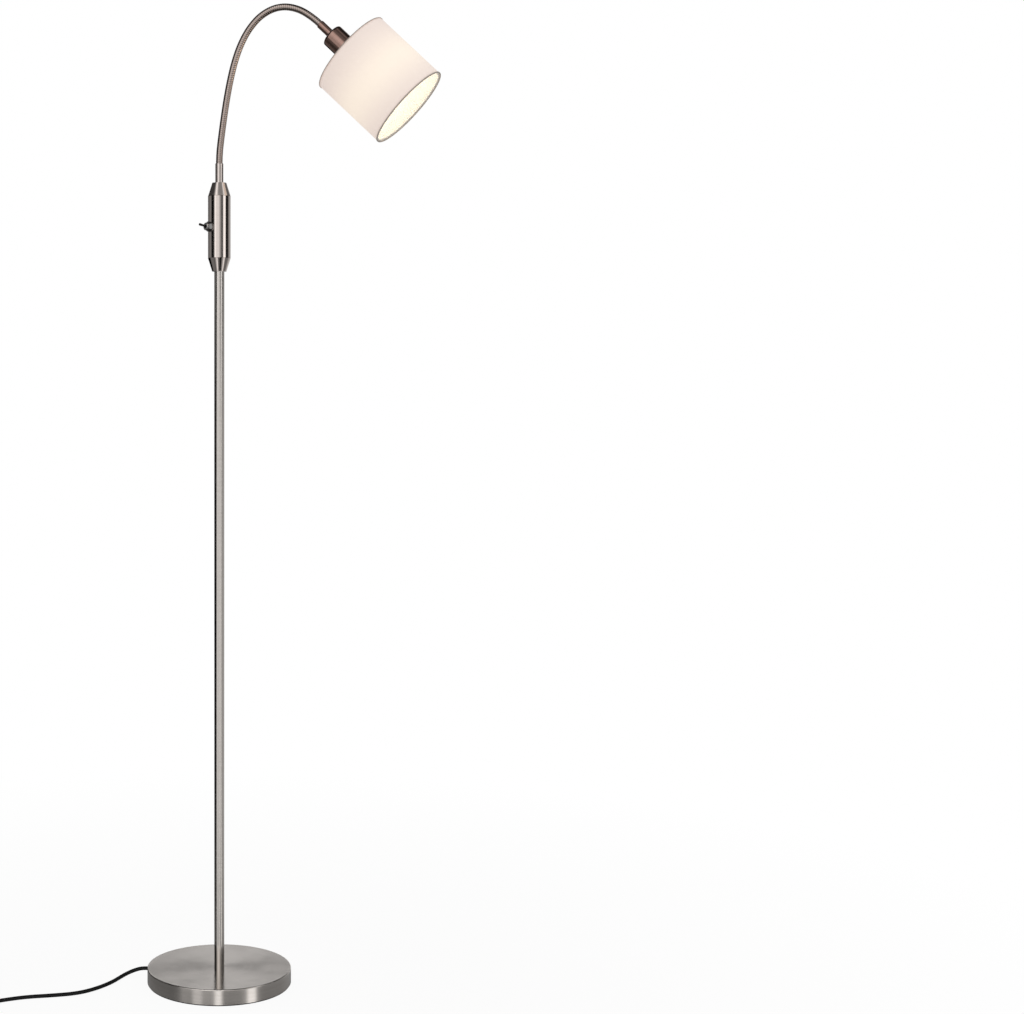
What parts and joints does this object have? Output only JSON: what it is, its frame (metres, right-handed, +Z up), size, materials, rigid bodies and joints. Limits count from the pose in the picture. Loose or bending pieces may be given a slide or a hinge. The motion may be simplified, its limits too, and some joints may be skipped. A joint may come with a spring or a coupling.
{
  "type": "gooseneck reading floor lamp",
  "caption": "Floor lamp with a round weighted foot, slender pole, switch housing with a toggle, ribbed gooseneck and a tilted fabric drum shade.",
  "frame": {"origin": "on the floor under the centre of the round foot", "axes": "+Z up along the pole; +X the way the neck reaches out; the cord leaves the foot towards -X"},
  "size_m": [0.7765, 0.3326, 1.5406],
  "materials": {
    "brushed_nickel": "brushed nickel plate, satin",
    "neck_nickel": "ribbed steel hose, satin nickel plate",
    "bright_chrome": "polished chrome plate",
    "zinc_steel": "bright zinc plate",
    "cast_iron": "rough casting",
    "felt": "pressed felt",
    "black_pvc": "soft moulded PVC",
    "black_phenolic": "moulded phenolic",
    "brass": "drawn brass",
    "bulb_aluminium": "rolled aluminium",
    "frosted_glass": "frosted",
    "white_cloth": "plain-woven white cover cloth",
    "pale_liner": "smooth pale shade liner",
    "binding_tape": "folded binding tape",
    "white_enamel": "white enamel on steel wire",
    "nylon_strap": "woven nylon strap",
    "black_wire": "insulated core"
  },
  "bodies": {
    "root": {"base_cover": "brushed_nickel", "base_weight": "cast_iron", "base_pad": "felt", "base_washer": "zinc_steel", "base_stud": "zinc_steel", "cord_bushing": "black_pvc", "pole_lower": "brushed_nickel", "pole_middle": "brushed_nickel", "pole_upper": "brushed_nickel", "pole_inserts": "zinc_steel", "pole_couplers": "zinc_steel", "pole_nipple": "zinc_steel", "lower_end_cap": "brushed_nickel", "upper_end_cap": "brushed_nickel", "switch_housing": "brushed_nickel", "switch_body": "black_phenolic", "switch_collar": "bright_chrome", "switch_nut": "bright_chrome", "lock_nuts": "zinc_steel", "neck_link_01": "neck_nickel", "lower_ferrule": "brushed_nickel", "cord_stretch": "black_pvc", "cord_coil": "black_pvc", "coil_tie": "nylon_strap", "plug_body": "black_pvc", "plug_blades": "brass", "supply_wires": "black_wire", "wire_connectors": "black_wire"},
    "neck_02": {"neck_link_02": "neck_nickel"},
    "neck_03": {"neck_link_03": "neck_nickel"},
    "neck_04": {"neck_link_04": "neck_nickel"},
    "neck_05": {"neck_link_05": "neck_nickel"},
    "neck_06": {"neck_link_06": "neck_nickel"},
    "neck_07": {"neck_link_07": "neck_nickel"},
    "neck_08": {"neck_link_08": "neck_nickel"},
    "neck_09": {"neck_link_09": "neck_nickel"},
    "neck_10": {"neck_link_10": "neck_nickel"},
    "neck_11": {"neck_link_11": "neck_nickel"},
    "head": {"neck_link_12": "neck_nickel", "upper_ferrule": "brushed_nickel", "socket_cup": "brushed_nickel", "cup_nut": "zinc_steel", "socket_body": "black_phenolic", "screw_shell": "brass", "centre_contact": "brass", "shade_retaining_ring": "black_phenolic", "bulb_cap": "bulb_aluminium", "bulb_globe": "frosted_glass", "shade_spider": "white_enamel", "shade_bottom_ring": "white_enamel", "shade_fabric": "white_cloth", "shade_liner": "pale_liner", "shade_top_trim": "binding_tape", "shade_bottom_trim": "binding_tape"},
    "toggle": {"toggle_lever": "bright_chrome"}
  },
  "joints": [
    {"name": "neck_lean_01", "type": "hinge", "parent": "root", "child": "neck_02", "pos_m": [0.00174, 0, 1.32843], "axis": [0, 1, 0], "range_deg": [-15, 15]},
    {"name": "neck_side_02", "type": "hinge", "parent": "neck_02", "child": "neck_03", "pos_m": [0.00546, 0, 1.35668], "axis": [0.9903, 0, -0.1392], "range_deg": [-15, 15]},
    {"name": "neck_lean_03", "type": "hinge", "parent": "neck_03", "child": "neck_04", "pos_m": [0.00967, 0, 1.38487], "axis": [0, 1, 0], "range_deg": [-15, 15]},
    {"name": "neck_side_04", "type": "hinge", "parent": "neck_04", "child": "neck_05", "pos_m": [0.01462, 0, 1.41294], "axis": [0.9816, 0, -0.1908], "range_deg": [-15, 15]},
    {"name": "neck_lean_05", "type": "hinge", "parent": "neck_05", "child": "neck_06", "pos_m": [0.02079, 0, 1.44076], "axis": [0, 1, 0], "range_deg": [-15, 15]},
    {"name": "neck_side_06", "type": "hinge", "parent": "neck_06", "child": "neck_07", "pos_m": [0.02912, 0, 1.468], "axis": [0.9397, 0, -0.342], "range_deg": [-15, 15]},
    {"name": "neck_crown_07", "type": "hinge", "parent": "neck_07", "child": "neck_08", "pos_m": [0.04115, 0, 1.4938], "axis": [0, 1, 0], "range_deg": [-12.42, 1.84]},
    {"name": "neck_crown_08", "type": "hinge", "parent": "neck_08", "child": "neck_09", "pos_m": [0.05845, 0, 1.51634], "axis": [0, 1, 0], "range_deg": [-19.44, 2.88]},
    {"name": "neck_crown_09", "type": "hinge", "parent": "neck_09", "child": "neck_10", "pos_m": [0.08217, 0, 1.53175], "axis": [0, 1, 0], "range_deg": [-27, 4]},
    {"name": "neck_crown_10", "type": "hinge", "parent": "neck_10", "child": "neck_11", "pos_m": [0.1102, 0, 1.5347], "axis": [0, 1, 0], "range_deg": [-26.46, 3.92]},
    {"name": "neck_crown_11", "type": "hinge", "parent": "neck_11", "child": "head", "pos_m": [0.13666, 0, 1.52467], "axis": [0, 1, 0], "range_deg": [-17.28, 2.56]},
    {"name": "toggle_flip", "type": "hinge", "parent": "root", "child": "toggle", "pos_m": [-0.01572, -0.01746, 1.2015], "axis": [0.7431, -0.6691, 0], "range_deg": [0, 24]}
  ],
  "couplings": [
    {"joint": "neck_lean_03", "follows": "neck_lean_01", "ratio": 1},
    {"joint": "neck_side_04", "follows": "neck_side_02", "ratio": 1},
    {"joint": "neck_lean_05", "follows": "neck_lean_01", "ratio": 1},
    {"joint": "neck_side_06", "follows": "neck_side_02", "ratio": 1},
    {"joint": "neck_crown_07", "follows": "neck_crown_09", "ratio": 0.46},
    {"joint": "neck_crown_08", "follows": "neck_crown_09", "ratio": 0.72},
    {"joint": "neck_crown_10", "follows": "neck_crown_09", "ratio": 0.98},
    {"joint": "neck_crown_11", "follows": "neck_crown_09", "ratio": 0.64}
  ]
}
